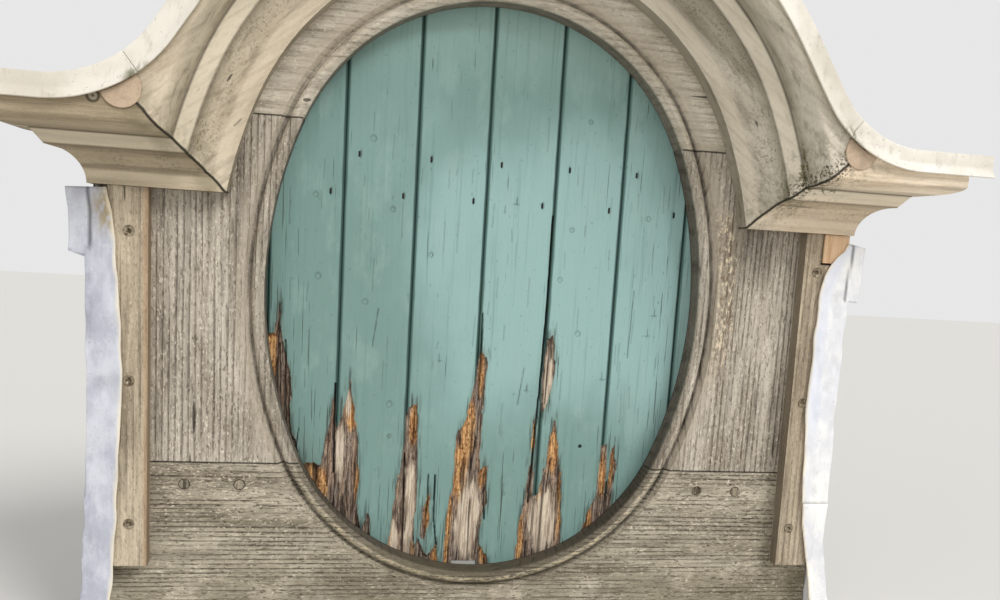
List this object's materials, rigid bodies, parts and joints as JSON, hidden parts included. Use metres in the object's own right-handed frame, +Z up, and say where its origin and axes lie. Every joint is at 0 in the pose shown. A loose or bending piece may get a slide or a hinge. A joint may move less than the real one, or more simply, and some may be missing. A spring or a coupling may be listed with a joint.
{
  "type": "oval window with boarded leaf",
  "caption": "Oval boarded window in a moulded oak frame under a swept hood with capped returns, cover battens, lead side flashings and a leaf hinged at the left.",
  "frame": {"origin": "middle of the four corner fixing screws, on the back face of the oak frame", "axes": "X to the right seen from outside, Y into the wall, Z up; the front faces -Y"},
  "size_m": [1.196, 0.2291, 0.9731],
  "materials": {
    "frame_oak": "weathered, open grain",
    "peg_oak": "weathered end grain",
    "hood_oak": "weathered, smoother",
    "filler_wood": "matt",
    "capping_metal": "matt, soiled",
    "batten_wood": "weathered",
    "screw_steel": "dull, dirty",
    "new_softwood": "sawn",
    "sheet_lead": "dressed lead, dull",
    "painted_boards": "aged sage green paint, rotten foot",
    "ledge_wood": "bare",
    "nail_iron": "painted over, rusty",
    "black_iron": "black, dull"
  },
  "bodies": {
    "frame": {"frame_head": "frame_oak", "jamb_left": "frame_oak", "jamb_right": "frame_oak", "bottom_rail": "frame_oak", "frame_pegs": "peg_oak", "hood_arch_left": "hood_oak", "hood_arch_right": "hood_oak", "return_left": "hood_oak", "return_right": "hood_oak", "corner_patch_left": "filler_wood", "corner_patch_right": "filler_wood", "arch_capping": "capping_metal", "return_capping_left": "capping_metal", "return_capping_right": "capping_metal", "batten_left": "batten_wood", "batten_right": "batten_wood", "fixing_screws": "screw_steel", "repair_strip_right": "new_softwood", "side_flashing_left": "sheet_lead", "side_flashing_right_upper": "sheet_lead", "side_flashing_right_lower": "sheet_lead", "pintle_upper": "black_iron", "pintle_lower": "black_iron", "pintle_screws": "black_iron", "keeper": "black_iron", "keeper_screws": "black_iron"},
    "leaf": {"board_1": "painted_boards", "board_2": "painted_boards", "board_3": "painted_boards", "board_4": "painted_boards", "board_5": "painted_boards", "board_6": "painted_boards", "board_7": "painted_boards", "board_8": "painted_boards", "ledge_upper": "ledge_wood", "ledge_lower": "ledge_wood", "leaf_nails": "nail_iron", "hinge_strap_upper": "black_iron", "hinge_strap_lower": "black_iron", "strap_screws": "black_iron", "bolt_plate": "black_iron", "bolt_screws": "black_iron"},
    "bolt": {"bolt": "black_iron"}
  },
  "joints": [
    {"name": "leaf_hinge", "type": "hinge", "parent": "frame", "child": "leaf", "pos_m": [-0.322, 0.0203, 0.116], "axis": [0, 0, 1], "range_deg": [0, 100]},
    {"name": "bolt_slide", "type": "slide", "parent": "leaf", "child": "bolt", "axis": [1, 0, 0], "range_m": [0, 0.028]}
  ]
}
